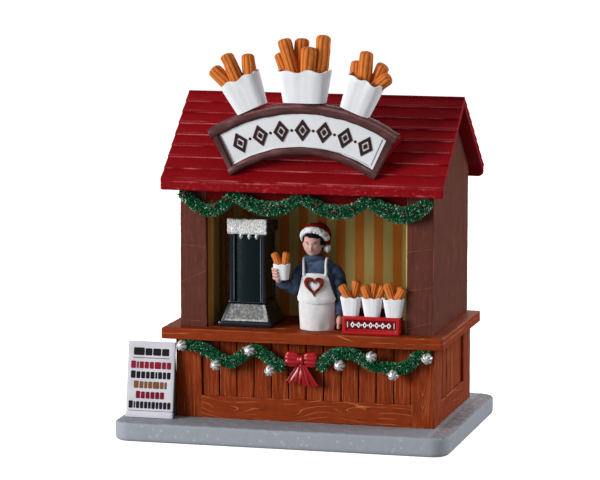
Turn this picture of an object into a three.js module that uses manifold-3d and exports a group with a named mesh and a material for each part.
// Painted cast-resin miniature of a Christmas-market churro stall, standing on a grey base plate.
// Millimetres, +Z up. The stall faces -Y. The origin is the middle of the underside of the base plate.

import * as THREE from "three";
import { mergeVertices } from "three/addons/utils/BufferGeometryUtils.js";
import Module from "manifold-3d";

const wasm = await Module();
wasm.setup();

// Driving dimensions, in millimetres and degrees

// Segments round a turned form, a small one, a thin one and a limb
const ROUND = { fine: 32, small: 16, thin: 10, limb: 8 };
const GAP = 0.3; // clearance to a neighbour that cuts a piece or that a slanted face rests on
const PASS = 2; // how far a cutter runs past the face that it opens

const BASE = { width: 120, depth: 88, height: 6.8, corner: 4.5, edge: 0.8 };

// Middle of the stall on the base plate. All stall sizes below are taken from this point.
const STALL = { x: 5.7, y: 2.9 };

const COUNTER = { half: 46.7, front: -30.8, back: 30.1, bottom: BASE.height, top: 35 };
const PANEL = { stile: 9.4, sideStile: 11.5, rail: 8, topRail: 0.8, recess: 1, plank: 6.25, groove: 0.7 };
const SLAB = { half: 50.25, front: -34.4, back: 30.5, bottom: COUNTER.top, top: 39, edge: 0.5 };

const WALL = { half: 45.6, thick: 9.5, front: -28.4, back: 29.6, bottom: SLAB.top };
const HATCH = { half: WALL.half - WALL.thick, top: 84, rear: 2.1, skin: 0.8 };

const ROOF = { half: 50.2, run: 35.6, ridge: 119.4, eave: 91.4, fascia: 3.1, boards: 8, lap: 0.6 };
const SLOPE = (ROOF.ridge - ROOF.eave) / ROOF.run;

const SIGN = { front: -34.2, back: -29.4, centre: 57.5, inner: 44, outer: 61.9, spread: 34.3, edge: 0.7 };
const SIGN_PANEL = { inner: 47.2, outer: 58.2, spread: 31.1, recess: 1.2, thick: 0.7 };
const GUSSET = { inner: 45, outer: 60, spread: 33.6, top: 108, reach: 13, from: 20 };

// Paper cups on the sign: place and lean, and sizes across and from front to back.
const CUP = { wall: 0.7, hollow: 6, waves: 8, wave: 0.4, y: -31.3 };
const SIGN_CUPS = {
  left: { x: -18.3, lean: -24.5, bottom: [5.4, 3.6], top: [7.2, 5.2], height: 11.4 },
  middle: { x: 0.4, lean: 0, bottom: [7.4, 3.8], top: [9.2, 5.8], height: 11 },
  right: { x: 18.2, lean: 21.5, bottom: [5.3, 3.6], top: [6.5, 5.2], height: 11.8 },
};

// Churros of each sign cup in the cup's own axes: foot and tip across, tip height, depth and radius.
const SIGN_CHURROS = {
  left: [
    { foot: -2.4, tip: -7.3, height: 18.7, depth: 0.3, radius: 2.4 },
    { foot: -1.5, tip: -0.5, height: 21.2, depth: -1.2, radius: 2.4 },
    { foot: 1.2, tip: 6.2, height: 18.3, depth: 0.6, radius: 2.4 },
  ],
  middle: [
    { foot: -6, tip: -9.6, height: 16.9, depth: 1.2, radius: 2.3 },
    { foot: -2.3, tip: -7.2, height: 22, depth: -1, radius: 2.45 },
    { foot: -1.9, tip: -1.5, height: 22, depth: 2.1, radius: 2.45 },
    { foot: 1.8, tip: 2.15, height: 19.5, depth: -2.4, radius: 2.75 },
    { foot: 5.2, tip: 6.9, height: 23.4, depth: 0.3, radius: 2.6 },
  ],
  right: [
    { foot: -1.4, tip: -6, height: 16.5, depth: 1.6, radius: 2.3 },
    { foot: 0.8, tip: -3.6, height: 21.1, depth: -0.4, radius: 2.5 },
    { foot: 0.4, tip: 3.4, height: 18.9, depth: 1.6, radius: 2.45 },
    { foot: 0.2, tip: 7.2, height: 16.5, depth: -1.6, radius: 2.55 },
  ],
};
const CHURRO = { ridges: 7, smallRidges: 4, groove: 0.17, core: 1.6 };

const TRAY = { x: 24.1, half: 10.2, front: -31.5, back: -25.6, top: 45.3, edge: 0.4 };
const TRAY_LABEL = { half: 9, bottom: 41, top: 43.9, recess: 0.5, thick: 0.25 };
const TRAY_CUP = { pitch: 7.6, bottom: [2.7, 2.1], top: [3.8, 2.9], height: 6.4, hollow: 3.4 };
const TRAY_CHURROS = [
  [
    { foot: -0.4, tip: -3.6, height: 11.2, depth: -0.6, radius: 1.3 },
    { foot: 0.4, tip: -0.9, height: 12, depth: 0.5, radius: 1.25 },
    { foot: 0.6, tip: 3.4, height: 12.2, depth: 0.3, radius: 1.3 },
  ],
  [
    { foot: -0.6, tip: -3.1, height: 10.6, depth: -0.4, radius: 1.3 },
    { foot: 0, tip: 0.3, height: 11.9, depth: 0.5, radius: 1.3 },
    { foot: 0.6, tip: 3.2, height: 10.8, depth: -1, radius: 1.25 },
  ],
  [
    { foot: -0.4, tip: -2.9, height: 11.8, depth: 0.5, radius: 1.3 },
    { foot: 0.1, tip: 0.8, height: 10.4, depth: -0.7, radius: 1.25 },
    { foot: 0.5, tip: 3.5, height: 10.9, depth: -1.1, radius: 1.3 },
  ],
];

const TOP_GARLAND = { half: 44.3, y: -30.95, peak: 86.1, dip: 81.5, swags: 4, radius: 2.4 };
const ROPE = { y: -33, radius: 1.9, sides: 8 };
// Routes of the two lower garlands across the counter front, as [across, height].
const ROPE_LEFT = [[-43.9, 32.6], [-36.4, 30.4], [-26.4, 26.5], [-20.6, 29.8], [-17.6, 31.7],
  [-12.8, 28.4], [-6.6, 25.4]];
const ROPE_RIGHT = [[7.7, 28.2], [10.6, 31.4], [15.5, 32.7], [20.6, 31.2], [28, 26.9], [34.6, 27.4],
  [39.5, 31], [44.6, 32.6]];
const BALL = { radius: 1.95, y: -34.7 };
const BALLS = [[-43.6, 32.4], [-30.9, 26.5], [-18.7, 32.2], [-11.3, 25.4], [13.8, 28.4], [25.1, 32],
  [32.9, 25.9], [44.8, 32.2]];
const BOW = { x: -0.25, z: 29.3, back: -31.2, reach: 6.05, rise: 3.7, knot: 1.55, loop: 2.9, ribbon: 1.3 };
const BOW_TAILS = [[-5, -7.6], [-1.6, -7.7], [2, -9.1], [5.2, -8.1]];

const MENU = { left: -57.9, right: -41.3, front: -34, lean: 4.3, thick: 1.8, rear: -24.5, top: 33.5 };

// Drinks dispenser behind the counter
const DISPENSER = { x: -22.7, y: -16.5, foot: 10.1, plinth: 1.8, shoulder: 47, neck: 6.95 };
const COLUMN = { top: 71.5, post: 1.5, core: 5.7, plate: 0.8 };
const CAP = { half: 7.5, top: 77.1, edge: 0.8, spout: 0.75, drop: 1.7, spread: 2.3 };

// Half figure of the vendor, measured from the counter top at the middle of the figure
const VENDOR = { x: 3, y: -23.4 };
// Rings of the apron skirt and of the sweater, as [half-width, half-depth, height]
const SKIRT = [[0, 0, 0], [6.1, 4.8, 0], [6.4, 4.9, 4], [6.9, 4.9, 9.4], [6.3, 4.4, 10.4], [0, 0, 10.4]];
const TORSO = [[0, 0, 9], [6.2, 4.5, 9], [6.9, 4.9, 12], [6.8, 4.7, 17], [6.9, 4.2, 21], [5.6, 3.4, 23.6],
  [3.2, 2.9, 24.8], [0, 0, 24.8]];
const TORSO_SHIFT = 0.2;
const SKIN = { head: [3.55, 3.9, 4.6], at: [-1.4, -0.9, 30.3] };
const COLLAR = { x: -1.2, bottom: 22, top: 26.3, foot: 3.3, radius: 3.1 };
const HAT = { crown: [4.6, 4.7, 4.3], at: [-0.7, 0.4, 33.3], brim: -1.4, tilt: 22 };
const HAT_BAND = { inner: 3.2, low: 0.3, proud: 0.7, half: 1.05 };
// Tail of the hat from the crown to its end, and the pompom under it, measured from the crown's middle
const HAT_TAIL = { from: [2.4, 0.6, 0.4], to: [4.4, -0.3, -3.4], wide: 2, narrow: 1.1 };
const POMPOM = { at: [4.7, -0.6, -4.9], radius: 1.25 };
const ARM = { upper: 2.35, elbow: 2.1, wrist: 1.55, hand: 1.75 };
// Shoulder, elbow, wrist and hand of each arm
const RAISED_ARM = [[-5.2, 0.2, 22], [-7.3, -0.4, 13.3], [-12, -2.2, 17.2], [-13.1, -5, 19]];
const HANGING_ARM = [[6.9, 0.2, 22], [8.1, 0.9, 13.4], [8.1, 0.2, 5], [8.1, -0.3, 2.6]];
const HEART = { size: 3.5, ring: 1, thick: 0.5, x: 0.1, y: -5.5, z: 15.7 };
const HAND_CUP = { at: [-11.2, -6.4, 18.1], bottom: [2.2, 2], top: [3.05, 2.6], height: 5.6, hollow: 3 };
const HAND_CHURROS = [
  { foot: -0.4, tip: -2.6, height: 10, depth: -0.2, radius: 1.15 },
  { foot: 0.5, tip: 2, height: 10.2, depth: 0.3, radius: 1.15 },
];

// Paints

function paint(color, roughness, metalness = 0) {
  return new THREE.MeshStandardMaterial({ color, roughness, metalness });
}

const PAINT = {
  stone: paint(0x8d9098, 0.75),
  counter: paint(0x7a3a20, 0.5),
  wall: paint(0x5c342d, 0.7),
  stripes: paint(0x8a5a26, 0.7),
  roof: paint(0x78121c, 0.45),
  signBrown: paint(0x4a2d2e, 0.45),
  white: paint(0xdcdee0, 0.55),
  churro: paint(0xb86c34, 0.6),
  red: paint(0xa01e24, 0.35),
  labelRed: paint(0x6a1014, 0.45),
  green: paint(0x1d5434, 0.7),
  silver: paint(0xc4c8c8, 0.3, 0.8),
  black: paint(0x1a2126, 0.3),
  skin: paint(0xc79884, 0.55),
  sweater: paint(0x3d4f69, 0.7),
  heart: paint(0x7a3a28, 0.5),
};

// Joining and cutting closed meshes

function solidOf(geometry) {
  const bare = geometry.clone();
  bare.deleteAttribute("normal");
  bare.deleteAttribute("uv");
  const merged = mergeVertices(bare, 1e-4);
  const index = merged.index.array;
  const triVerts = [];
  for (let i = 0; i < index.length; i += 3) {
    const [a, b, c] = [index[i], index[i + 1], index[i + 2]];
    if (a !== b && b !== c && c !== a) {
      triVerts.push(a, b, c);
    }
  }
  const vertProperties = new Float32Array(merged.attributes.position.array);
  const mesh = new wasm.Mesh({ numProp: 3, vertProperties, triVerts: new Uint32Array(triVerts) });
  return new wasm.Manifold(mesh);
}

function geometryOf(solid) {
  const mesh = solid.getMesh();
  const geometry = new THREE.BufferGeometry();
  geometry.setAttribute("position", new THREE.BufferAttribute(mesh.vertProperties, 3));
  geometry.setIndex(new THREE.BufferAttribute(mesh.triVerts, 1));
  geometry.computeVertexNormals();
  return geometry;
}

// Runs a geometry through the solid form, which settles the direction of its faces
function orientedOut(geometry) {
  return geometryOf(solidOf(geometry));
}

function joined(geometries) {
  return geometries.map(solidOf).reduce((whole, piece) => whole.add(piece));
}

// The largest of the bodies that a cut leaves
function mainBody(solid) {
  const bodies = solid.decompose();
  return bodies.reduce((best, body) => (body.volume() > best.volume() ? body : best));
}

// Basic shapes

const ACROSS = new THREE.Vector3(1, 0, 0);
const BACK = new THREE.Vector3(0, 1, 0);
const FORWARD = new THREE.Vector3(0, -1, 0);
const UP = new THREE.Vector3(0, 0, 1);

function block(x0, x1, y0, y1, z0, z1) {
  const geometry = new THREE.BoxGeometry(x1 - x0, y1 - y0, z1 - z0);
  return geometry.translate((x0 + x1) / 2, (y0 + y1) / 2, (z0 + z1) / 2);
}

function rectangle(x0, x1, y0, y1, corner = 0) {
  const shape = new THREE.Shape();
  shape.moveTo(x0 + corner, y0);
  shape.lineTo(x1 - corner, y0);
  if (corner > 0) shape.absarc(x1 - corner, y0 + corner, corner, -Math.PI / 2, 0);
  shape.lineTo(x1, y1 - corner);
  if (corner > 0) shape.absarc(x1 - corner, y1 - corner, corner, 0, Math.PI / 2);
  shape.lineTo(x0 + corner, y1);
  if (corner > 0) shape.absarc(x0 + corner, y1 - corner, corner, Math.PI / 2, Math.PI);
  shape.lineTo(x0, y0 + corner);
  if (corner > 0) shape.absarc(x0 + corner, y0 + corner, corner, Math.PI, 1.5 * Math.PI);
  return shape;
}

function extruded(shape, depth, edge, curveSegments) {
  const bevel = { bevelEnabled: edge > 0, bevelThickness: edge, bevelSize: edge, bevelOffset: -edge };
  const geometry = new THREE.ExtrudeGeometry(shape, {
    depth: depth - 2 * edge, curveSegments, bevelSegments: 1, ...bevel,
  });
  return geometry.translate(0, 0, edge);
}

// Upright plate with its outline in plan
function plate(shape, bottom, top, edge = 0, curveSegments = 4) {
  return extruded(shape, top - bottom, edge, curveSegments).translate(0, 0, bottom);
}

// Solid with its outline seen from the front, between two depths
function frontal(shape, front, back, edge = 0, curveSegments = 10) {
  const geometry = extruded(shape, back - front, edge, curveSegments);
  geometry.applyMatrix4(new THREE.Matrix4().makeBasis(ACROSS, UP, FORWARD));
  return geometry.translate(0, back, 0);
}

// Solid with its outline seen from the side, as [depth, height], between two places across
function lateral(points, x0, x1) {
  const shape = new THREE.Shape(points.map(([y, z]) => new THREE.Vector2(y, z)));
  const geometry = extruded(shape, x1 - x0, 0, 1);
  geometry.applyMatrix4(new THREE.Matrix4().makeBasis(BACK, UP, ACROSS));
  return geometry.translate(x0, 0, 0);
}

// Turned form with an oval section, from rings of [half-width, half-depth, height], bottom first.
// A groove above 0 pulls every second segment in by that share.
function turned(rings, segments, groove = 0) {
  const profile = rings.map(([wide, , height]) => new THREE.Vector2(wide, height));
  const geometry = new THREE.LatheGeometry(profile, segments);
  const position = geometry.attributes.position;
  for (let i = 0; i < position.count; i += 1) {
    const [wide, deep] = rings[i % rings.length];
    const inset = Math.floor(i / rings.length) % 2 === 1 ? 1 - groove : 1;
    const ratio = wide > 0 ? deep / wide : 1;
    position.setX(i, position.getX(i) * inset);
    position.setZ(i, position.getZ(i) * inset * ratio);
  }
  return geometry.rotateX(Math.PI / 2);
}

function oval(radii, at, grow = 0) {
  const geometry = new THREE.SphereGeometry(1, 10, 7).rotateX(Math.PI / 2);
  geometry.scale(radii[0] + grow, radii[1] + grow, radii[2] + grow);
  return geometry.translate(...at);
}

// Turns a form that stands along +Z so that it runs from one point towards another
function aimed(geometry, from, to) {
  const start = new THREE.Vector3(...from);
  const direction = new THREE.Vector3(...to).sub(start).normalize();
  geometry.applyQuaternion(new THREE.Quaternion().setFromUnitVectors(UP, direction));
  return geometry.translate(...from);
}

function limb(from, to, radius0, radius1, grow = 0) {
  const length = new THREE.Vector3(...from).distanceTo(new THREE.Vector3(...to));
  const [a, b] = [radius0 + grow, radius1 + grow];
  const rings = [[0, 0, -a], [0.75 * a, 0.75 * a, -0.66 * a], [a, a, 0],
    [b, b, length], [0.75 * b, 0.75 * b, length + 0.66 * b], [0, 0, length + b]];
  return aimed(turned(rings, ROUND.limb), from, to);
}

function add(parent, name, geometry, material) {
  const mesh = new THREE.Mesh(geometry, material);
  mesh.name = name;
  parent.add(mesh);
}

function group(parent, x, y, z) {
  const child = new THREE.Group();
  child.position.set(x, y, z);
  parent.add(child);
  return child;
}

// Base plate and counter

function makeBase(parent) {
  const outline = rectangle(-BASE.width / 2, BASE.width / 2, -BASE.depth / 2, BASE.depth / 2, BASE.corner);
  add(parent, "base", plate(outline, 0, BASE.height, BASE.edge), PAINT.stone);
}

// Cutter for a sunk panel of upright planks. Its face lies at y = 0, the depth runs along +Y.
function plankPanel(width, bottom, top) {
  const planks = Math.round(width / PANEL.plank);
  const cuts = [block(-width / 2, width / 2, -PASS, PANEL.recess, bottom, top)];
  for (let i = 1; i < planks; i += 1) {
    const x = width * (i / planks - 0.5);
    const half = PANEL.groove / 2;
    cuts.push(block(x - half, x + half, -PASS, PANEL.recess + PANEL.groove, bottom, top));
  }
  return cuts;
}

function makeCounter(parent) {
  const { half, front, back, bottom, top } = COUNTER;
  const middle = (front + back) / 2;
  const wide = 2 * (half - PANEL.stile);
  const deep = back - front - 2 * PANEL.sideStile;
  const faces = [
    { width: wide, turn: 0, x: 0, y: front },
    { width: wide, turn: Math.PI, x: 0, y: back },
    { width: deep, turn: Math.PI / 2, x: half, y: middle },
    { width: deep, turn: -Math.PI / 2, x: -half, y: middle },
  ];
  let solid = solidOf(block(-half, half, front, back, bottom, top));
  for (const { width, turn, x, y } of faces) {
    const cuts = plankPanel(width, bottom + PANEL.rail, top - PANEL.topRail);
    const placed = cuts.map((cut) => cut.rotateZ(turn).translate(x, y, 0));
    solid = solid.subtract(joined(placed));
  }
  add(parent, "counter", geometryOf(solid), PAINT.counter);
  const slab = rectangle(-SLAB.half, SLAB.half, SLAB.front, SLAB.back);
  add(parent, "counter_top", plate(slab, SLAB.bottom, SLAB.top, SLAB.edge), PAINT.counter);
}

// Walls, roof and striped lining of the hatch

function roofTop(y) {
  return ROOF.ridge - Math.abs(y) * SLOPE;
}

function roofUnder(y) {
  return roofTop(y) - ROOF.fascia;
}

function gableProfile(bottom) {
  const { front, back } = WALL;
  return [[front, bottom], [back, bottom], [back, roofUnder(back) - GAP], [0, roofUnder(0) - GAP],
    [front, roofUnder(front) - GAP]];
}

function makeWalls(parent) {
  const { half, thick, front, back, bottom } = WALL;
  const inner = HATCH.half;
  const rear = HATCH.rear + HATCH.skin;
  add(parent, "wall_left", lateral(gableProfile(bottom), -half, thick - half), PAINT.wall);
  add(parent, "wall_right", lateral(gableProfile(bottom), half - thick, half), PAINT.wall);
  add(parent, "wall_rear", block(-inner, inner, rear, back, bottom, HATCH.top), PAINT.wall);
  add(parent, "attic", lateral(gableProfile(HATCH.top), -inner, inner), PAINT.wall);

  const lining = inner - HATCH.skin;
  const start = front + PASS;
  const striped = PAINT.stripes;
  add(parent, "lining_rear", block(-inner, inner, HATCH.rear, rear, bottom, HATCH.top), striped);
  add(parent, "lining_left", block(-inner, -lining, start, HATCH.rear, bottom, HATCH.top), striped);
  add(parent, "lining_right", block(lining, inner, start, HATCH.rear, bottom, HATCH.top), striped);
}

// One slope of lapped boards from the ridge to the eave. side is -1 for the front, 1 for the back.
function roofSlope(side) {
  const turn = Math.atan(SLOPE);
  const points = [[0, roofUnder(0)], [0, ROOF.ridge]];
  for (let i = 1; i <= ROOF.boards; i += 1) {
    const run = (ROOF.run * i) / ROOF.boards;
    const lift = ROOF.lap * Math.cos(turn);
    const last = i === ROOF.boards;
    points.push([side * (run + (last ? 0 : ROOF.lap * Math.sin(turn))), roofTop(run) + lift]);
    if (!last) points.push([side * run, roofTop(run)]);
  }
  points.push([side * ROOF.run, roofUnder(ROOF.run)]);
  return lateral(side < 0 ? points.reverse() : points, -ROOF.half, ROOF.half);
}

function makeRoof(parent) {
  add(parent, "roof_front", orientedOut(roofSlope(-1)), PAINT.roof);
  add(parent, "roof_back", orientedOut(roofSlope(1)), PAINT.roof);
}

// Arched sign with its panel, and the gussets that hold its ends to the roof

function arch(inner, outer, spread) {
  const half = THREE.MathUtils.degToRad(spread);
  const middle = Math.PI / 2;
  const shape = new THREE.Shape();
  shape.absarc(0, SIGN.centre, outer, middle - half, middle + half, false);
  shape.absarc(0, SIGN.centre, inner, middle + half, middle - half, true);
  shape.closePath();
  return shape;
}

// Everything under the lapped boards of the front slope, with clearance
function underRoof() {
  const lift = ROOF.lap * 1.3 + GAP;
  const far = 2 * ROOF.run;
  const points = [[-far, 0], [0, 0], [0, ROOF.ridge + lift], [-far, roofTop(far) + lift]];
  return solidOf(lateral(points, -ROOF.half, ROOF.half));
}

function makeSign(parent) {
  const { front, back, inner, outer, spread, edge } = SIGN;
  const floor = front + SIGN_PANEL.recess;
  const hole = arch(SIGN_PANEL.inner, SIGN_PANEL.outer, SIGN_PANEL.spread);
  const board = solidOf(frontal(arch(inner, outer, spread), front, back, edge))
    .subtract(solidOf(frontal(hole, front - PASS, floor)))
    .subtract(underRoof());
  add(parent, "sign_board", geometryOf(mainBody(board)), PAINT.signBrown);

  const clear = GAP / 2;
  const field = arch(SIGN_PANEL.inner + clear, SIGN_PANEL.outer - clear, SIGN_PANEL.spread - clear);
  add(parent, "sign_panel", frontal(field, floor - SIGN_PANEL.thick, floor), PAINT.white);

  const band = solidOf(frontal(arch(GUSSET.inner, GUSSET.outer, GUSSET.spread), back + GAP, 0));
  const wedge = [[back, 0], [back + GUSSET.reach, 0], [back + GUSSET.reach, roofTop(back + GUSSET.reach)],
    [back, GUSSET.top]];
  for (const [name, side] of [["sign_gusset_left", -1], ["sign_gusset_right", 1]]) {
    const span = [side * GUSSET.from, side * SIGN.outer].sort((a, b) => a - b);
    const gusset = band.intersect(solidOf(lateral(wedge, ...span))).subtract(underRoof());
    add(parent, name, geometryOf(mainBody(gusset)), PAINT.roof);
  }
}

// Paper cups and churros

// Ring of a cup's tapered wall at a height, drawn in by an inset
function cupRing(cup, height, inset = 0) {
  const share = height / cup.height;
  const wide = THREE.MathUtils.lerp(cup.bottom[0], cup.top[0], share) - inset;
  const deep = THREE.MathUtils.lerp(cup.bottom[1], cup.top[1], share) - inset;
  return [wide, deep, height];
}

function cupGeometry(cup, segments) {
  const floor = cup.height - cup.hollow;
  const rings = [[0, 0, 0], cupRing(cup, 0), cupRing(cup, cup.height), cupRing(cup, cup.height, CUP.wall),
    cupRing(cup, floor, CUP.wall), [0, 0, floor]];
  const geometry = turned(rings, segments);
  const position = geometry.attributes.position;
  for (let i = 0; i < position.count; i += 1) {
    if (position.getZ(i) > cup.height - GAP) {
      const angle = Math.atan2(position.getY(i) / cup.top[1], position.getX(i) / cup.top[0]);
      position.setZ(i, position.getZ(i) + cup.wave * Math.cos(CUP.waves * angle));
    }
  }
  return geometry;
}

function churroGeometry(length, radius, ridges) {
  const shares = [[0, 0], [0.95, 0], [1, 0.5], [0.84, 0.92], [0.35, 1], [0, 1]];
  const rings = shares.map(([wide, high]) => [wide * radius, wide * radius, high * length]);
  return turned(rings, 2 * ridges, CHURRO.groove);
}

// Churros that stand in a cup, joined by a core at the bottom of its hollow
function churroBundle(cup, churros, ridges) {
  const floor = cup.height - cup.hollow + GAP;
  const inset = CUP.wall + GAP;
  const rim = cup.height + cup.wave + GAP;
  const reach = 4 * cup.height;
  const rods = churros.map(({ foot, tip, height, depth, radius }) => {
    const from = [foot, 0.3 * depth, floor - CHURRO.core];
    const to = [tip, depth, height];
    const length = new THREE.Vector3(...from).distanceTo(new THREE.Vector3(...to));
    return aimed(churroGeometry(length, radius, ridges), from, to);
  });
  const mouth = rim + CHURRO.core;
  const hollow = turned([[0, 0, floor], cupRing(cup, floor, inset), cupRing(cup, mouth, inset),
    [0, 0, mouth]], ROUND.small);
  const above = block(-reach, reach, -reach, reach, rim, reach);
  const [low, high] = [floor + 0.5 * GAP, floor + CHURRO.core];
  const core = turned([[0, 0, low], cupRing(cup, low, inset + GAP), cupRing(cup, high, inset + GAP),
    [0, 0, high]], ROUND.small + 2);
  const bundle = joined(rods).intersect(joined([hollow, above])).add(solidOf(core));
  return geometryOf(mainBody(bundle));
}

function makeSignCups(parent) {
  for (const [side, sizes] of Object.entries(SIGN_CUPS)) {
    const cup = { ...sizes, hollow: CUP.hollow, wave: CUP.wave };
    const lean = THREE.MathUtils.degToRad(cup.lean);
    const place = Math.asin(cup.x / SIGN.outer);
    const holder = group(parent, cup.x, CUP.y, SIGN.centre + SIGN.outer * Math.cos(place));
    holder.rotation.y = lean;
    const seat = new THREE.CylinderGeometry(SIGN.outer + GAP, SIGN.outer + GAP, 4 * cup.top[1], 240);
    seat.translate(-SIGN.outer * Math.sin(place - lean), 0, -SIGN.outer * Math.cos(place - lean));
    const body = solidOf(cupGeometry(cup, ROUND.fine)).subtract(solidOf(seat));
    add(holder, `cup_${side}`, geometryOf(mainBody(body)), PAINT.white);
    add(holder, `churros_${side}`, churroBundle(cup, SIGN_CHURROS[side], CHURRO.ridges), PAINT.churro);
  }
}

function makeTray(parent) {
  const { x, half, front, back, top, edge } = TRAY;
  const bed = frontal(rectangle(x - half, x + half, SLAB.top, top), front, back, edge);
  const label = rectangle(x - TRAY_LABEL.half, x + TRAY_LABEL.half, TRAY_LABEL.bottom, TRAY_LABEL.top);
  const floor = front + TRAY_LABEL.recess;
  const sunk = solidOf(bed).subtract(solidOf(frontal(label, front - PASS, floor)));
  add(parent, "tray", geometryOf(sunk), PAINT.red);
  add(parent, "tray_label", frontal(label, floor - TRAY_LABEL.thick, floor), PAINT.labelRed);

  TRAY_CHURROS.forEach((churros, i) => {
    const cup = { ...TRAY_CUP, wave: CUP.wave / 2 };
    const holder = group(parent, x + (i - 1) * TRAY_CUP.pitch, (front + back) / 2, top);
    add(holder, `tray_cup_${i + 1}`, cupGeometry(cup, ROUND.small), PAINT.white);
    add(holder, `tray_churros_${i + 1}`, churroBundle(cup, churros, CHURRO.smallRidges), PAINT.churro);
  });
}

// Garlands, balls and bow

function tube(points, radius, sides, steps) {
  const section = new THREE.Shape();
  for (let i = 0; i < sides; i += 1) {
    const angle = (2 * Math.PI * i) / sides;
    const reach = i % 2 === 0 ? radius : 0.86 * radius;
    section[i === 0 ? "moveTo" : "lineTo"](reach * Math.cos(angle), reach * Math.sin(angle));
  }
  section.closePath();
  const extrudePath = new THREE.CatmullRomCurve3(points);
  return new THREE.ExtrudeGeometry(section, { steps, extrudePath });
}

function makeTopGarland(parent) {
  const { half, y, peak, dip, swags, radius } = TOP_GARLAND;
  const perSwag = 6;
  const points = [];
  for (let i = 0; i <= swags * perSwag; i += 1) {
    const share = (i % perSwag) / perSwag;
    const sag = 4 * share * (1 - share);
    const x = half * ((2 * i) / (swags * perSwag) - 1);
    points.push(new THREE.Vector3(x, y, peak - (peak - dip) * sag));
  }
  add(parent, "garland_top", orientedOut(tube(points, radius, ROPE.sides, 44)), PAINT.green);
}

function makeCounterGarlands(parent) {
  for (const [name, route] of [["garland_left", ROPE_LEFT], ["garland_right", ROPE_RIGHT]]) {
    const points = route.map(([x, z]) => new THREE.Vector3(x, ROPE.y, z));
    let rope = solidOf(tube(points, ROPE.radius, ROPE.sides, 18));
    for (const [x, z] of BALLS) {
      rope = rope.subtract(solidOf(oval(Array(3).fill(BALL.radius), [x, BALL.y, z], GAP)));
    }
    add(parent, name, geometryOf(mainBody(rope)), PAINT.green);
  }
  BALLS.forEach(([x, z], i) => {
    add(parent, `ball_${i + 1}`, oval(Array(3).fill(BALL.radius), [x, BALL.y, z]), PAINT.silver);
  });
}

function bowLoop(side) {
  const { reach, rise } = BOW;
  const at = (across, up) => [side * across * reach, up * rise];
  const shape = new THREE.Shape();
  shape.moveTo(...at(0.1, 0.3));
  shape.quadraticCurveTo(...at(0.5, 0.9), ...at(0.86, 1));
  shape.quadraticCurveTo(...at(1.08, 0.6), ...at(0.98, 0.2));
  shape.quadraticCurveTo(...at(1.1, -0.3), ...at(0.82, -0.62));
  shape.quadraticCurveTo(...at(0.5, -0.5), ...at(0.1, -0.3));
  shape.closePath();
  return shape;
}

function bowTail([x, z]) {
  const [root, width, notch] = [0.8, 1.15, 0.9];
  const shape = new THREE.Shape();
  shape.moveTo(0.15 * x - root, -0.5);
  shape.lineTo(x - width, z);
  shape.lineTo(x, z + notch);
  shape.lineTo(x + width, z);
  shape.lineTo(0.15 * x + root, -0.5);
  shape.closePath();
  return shape;
}

function makeBow(parent) {
  const { x, z, back, knot, loop, ribbon } = BOW;
  const loops = [-1, 1].map((side) => frontal(bowLoop(side), -loop, 0, 0.6, 2));
  const tails = BOW_TAILS.map((end) => frontal(bowTail(end), -ribbon, 0, 0.2));
  const middle = oval([knot, loop * 0.62, knot * 1.15], [0, -loop * 0.62, 0]);
  const bow = joined([...loops, ...tails, middle]);
  const holder = group(parent, x, back, z);
  const flat = solidOf(block(-2 * BOW.reach, 2 * BOW.reach, -4 * loop, 0, -4 * BOW.rise, 4 * BOW.rise));
  add(holder, "bow", geometryOf(mainBody(bow.intersect(flat))), PAINT.red);
}

// Menu board that stands on the base beside the counter

function makeMenu(parent) {
  const { left, right, front, lean, thick, rear, top } = MENU;
  const profile = [[front, BASE.height], [rear, BASE.height], [front + lean + thick, top],
    [front + lean, top]];
  add(parent, "menu_board", lateral(profile, left, right), PAINT.white);
}

// Dispenser

function squareTaper(half0, half1, bottom, top) {
  const geometry = new THREE.CylinderGeometry(half1 * Math.SQRT2, half0 * Math.SQRT2, top - bottom, 4);
  geometry.rotateY(Math.PI / 4).rotateX(Math.PI / 2);
  return geometry.translate(0, 0, (bottom + top) / 2);
}

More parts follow.
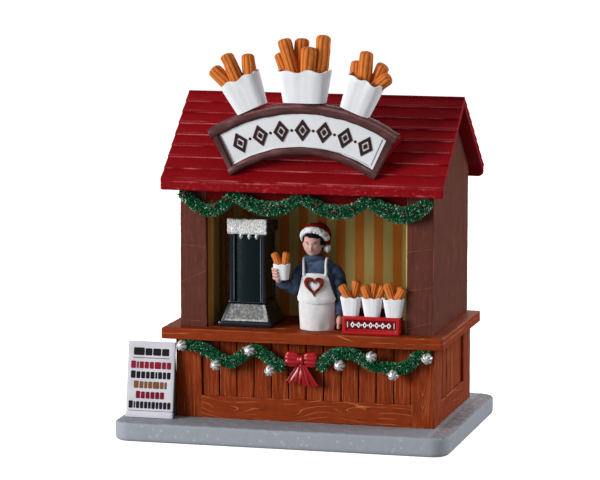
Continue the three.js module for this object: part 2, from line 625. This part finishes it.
function makeDispenser(parent) {
  const { x, y, foot, plinth, shoulder, neck } = DISPENSER;
  const holder = group(parent, x, y, 0);
  const ledge = SLAB.top + plinth;
  const bed = foot - plinth / 3;
  const sole = block(-foot, foot, -foot, foot, SLAB.top, ledge);
  const stand = joined([sole, squareTaper(bed, neck, ledge, shoulder)]);
  add(holder, "dispenser_foot", geometryOf(stand), PAINT.black);

  const [fall, run] = [shoulder - ledge, bed - neck];
  const face = new THREE.Shape([[-neck + 1, -0.5], [neck - 1, -0.5], [bed - 1, -fall], [1 - bed, -fall]]
    .map(([px, pz]) => new THREE.Vector2(px, pz * Math.hypot(fall, run) / fall + 0.2)));
  const panel = frontal(face, -2 * GAP, -GAP);
  panel.rotateX(-Math.atan2(run, fall)).translate(0, -neck, shoulder);
  add(holder, "dispenser_plate", panel, PAINT.silver);

  const posts = [[-1, -1], [1, -1], [1, 1], [-1, 1]].map(([sx, sy]) => {
    const [px, py] = [sx * (neck - COLUMN.post / 2), sy * (neck - COLUMN.post / 2)];
    const half = COLUMN.post / 2;
    return block(px - half, px + half, py - half, py + half, shoulder, COLUMN.top);
  });
  const core = turned([[0, 0, shoulder], [COLUMN.core, COLUMN.core, shoulder],
    [COLUMN.core, COLUMN.core, COLUMN.top], [0, 0, COLUMN.top]], ROUND.fine);
  const deck = block(-neck, neck, -neck, neck, shoulder, shoulder + COLUMN.plate);
  add(holder, "dispenser_column", geometryOf(joined([...posts, core, deck])), PAINT.black);

  const lid = plate(rectangle(-CAP.half, CAP.half, -CAP.half, CAP.half), COLUMN.top, CAP.top, CAP.edge);
  const spouts = [-1, 0, 1].map((side) => {
    const { spout, drop, spread } = CAP;
    const rings = [[0, 0, -drop], [0.6 * spout, 0.6 * spout, -drop], [spout, spout, 1], [0, 0, 1]];
    return turned(rings, ROUND.thin).translate(side * spread, -neck + spout * 0.2, COLUMN.top);
  });
  add(holder, "dispenser_cap", geometryOf(joined([lid, ...spouts])), PAINT.silver);
}

// Vendor

function vendorCollar(grow) {
  const { x, bottom, top, foot, radius } = COLLAR;
  const [wide, narrow, high] = [foot + grow, radius + grow, top + grow];
  const rings = [[0, 0, bottom], [wide, wide, bottom], [narrow, narrow, high], [0, 0, high]];
  return turned(rings, ROUND.small).translate(x, 0, 0);
}

// Sweater and apron skirt as one turned body, with both arms
function vendorBody() {
  const skirt = turned(SKIRT, ROUND.small);
  const torso = turned(TORSO, ROUND.small).translate(TORSO_SHIFT, 0, 0);
  const collar = vendorCollar(0);
  const arms = [RAISED_ARM, HANGING_ARM].flatMap(([shoulder, elbow, wrist]) => [
    limb(shoulder, elbow, ARM.upper, ARM.elbow),
    limb(elbow, wrist, ARM.elbow, ARM.wrist),
  ]);
  return joined([skirt, torso, collar, ...arms]);
}

// Soft hat with a fur band, set back on the head, its tail hanging to one side
function vendorHat() {
  const { crown, at, brim } = HAT;
  const tilt = -THREE.MathUtils.degToRad(HAT.tilt);
  const { inner, low, proud, half } = HAT_BAND;
  const ring = (grow, height) => [crown[0] + grow, crown[1] + grow, height];
  const band = turned([[inner, inner, 0], ring(low, -half), ring(proud, 0), ring(low, half),
    [inner, inner, 0]], ROUND.small - 2);
  band.rotateX(tilt).translate(at[0], at[1], at[2] + brim);
  const reach = 2 * crown[0];
  const above = block(-reach, reach, -reach, reach, brim, reach).rotateX(tilt).translate(...at);
  const dome = solidOf(oval(crown, at)).intersect(solidOf(above));
  const place = (offset) => offset.map((value, axis) => value + at[axis]);
  const tail = limb(place(HAT_TAIL.from), place(HAT_TAIL.to), HAT_TAIL.wide, HAT_TAIL.narrow);
  const pompom = oval(Array(3).fill(POMPOM.radius), place(POMPOM.at));
  return dome.add(joined([band, tail, pompom])).subtract(solidOf(oval(SKIN.head, SKIN.at, GAP)));
}

function heartRing(size, ring) {
  const outline = (scale, target) => {
    const bend = (...shares) => target.bezierCurveTo(...shares.map((share) => share * scale));
    target.moveTo(0, -scale);
    bend(0.7, -0.35, 1.35, 0.35, 0.8, 0.9);
    bend(0.45, 1.15, 0.05, 0.95, 0, 0.5);
    bend(-0.05, 0.95, -0.45, 1.15, -0.8, 0.9);
    bend(-1.35, 0.35, -0.7, -0.35, 0, -1);
    return target;
  };
  const shape = outline(size, new THREE.Shape());
  shape.holes.push(outline(size - ring, new THREE.Path()));
  return shape;
}

function makeVendor(parent) {
  const holder = group(parent, VENDOR.x, VENDOR.y, SLAB.top);
  const body = vendorBody();
  add(holder, "vendor_body", geometryOf(mainBody(body)), PAINT.sweater);

  const head = solidOf(oval(SKIN.head, SKIN.at)).subtract(solidOf(vendorCollar(GAP)));
  add(holder, "vendor_head", geometryOf(mainBody(head)), PAINT.skin);

  add(holder, "vendor_hat", geometryOf(mainBody(vendorHat())), PAINT.red);

  const heart = frontal(heartRing(HEART.size, HEART.ring), HEART.y - HEART.thick, HEART.y, 0, 5);
  add(holder, "vendor_heart", heart.translate(HEART.x, 0, HEART.z), PAINT.heart);

  const cup = { ...HAND_CUP, wave: CUP.wave / 2 };
  const cupHolder = group(holder, ...cup.at);
  add(cupHolder, "vendor_cup", cupGeometry(cup, ROUND.small), PAINT.white);
  add(cupHolder, "vendor_churros", churroBundle(cup, HAND_CHURROS, CHURRO.smallRidges), PAINT.churro);

  const blocked = turned([[0, 0, -GAP], cupRing(cup, 0, -GAP), cupRing(cup, cup.height, -GAP),
    [0, 0, cup.height + GAP]], ROUND.small).translate(...cup.at);
  for (const [name, arm] of [["vendor_hand_raised", RAISED_ARM], ["vendor_hand_hanging", HANGING_ARM]]) {
    const [, elbow, wrist, at] = arm;
    const hand = solidOf(oval([ARM.hand * 0.85, ARM.hand, ARM.hand], at))
      .subtract(solidOf(limb(elbow, wrist, ARM.elbow, ARM.wrist, GAP)))
      .subtract(solidOf(blocked));
    add(holder, name, geometryOf(mainBody(hand)), PAINT.skin);
  }
}

// The whole stall

const model = new THREE.Group();
makeBase(model);
makeMenu(model);
const stall = group(model, STALL.x, STALL.y, 0);
makeCounter(stall);
makeWalls(stall);
makeRoof(stall);
makeSign(stall);
makeSignCups(stall);
makeTray(stall);
makeTopGarland(stall);
makeCounterGarlands(stall);
makeBow(stall);
makeDispenser(stall);
makeVendor(stall);

export default model;
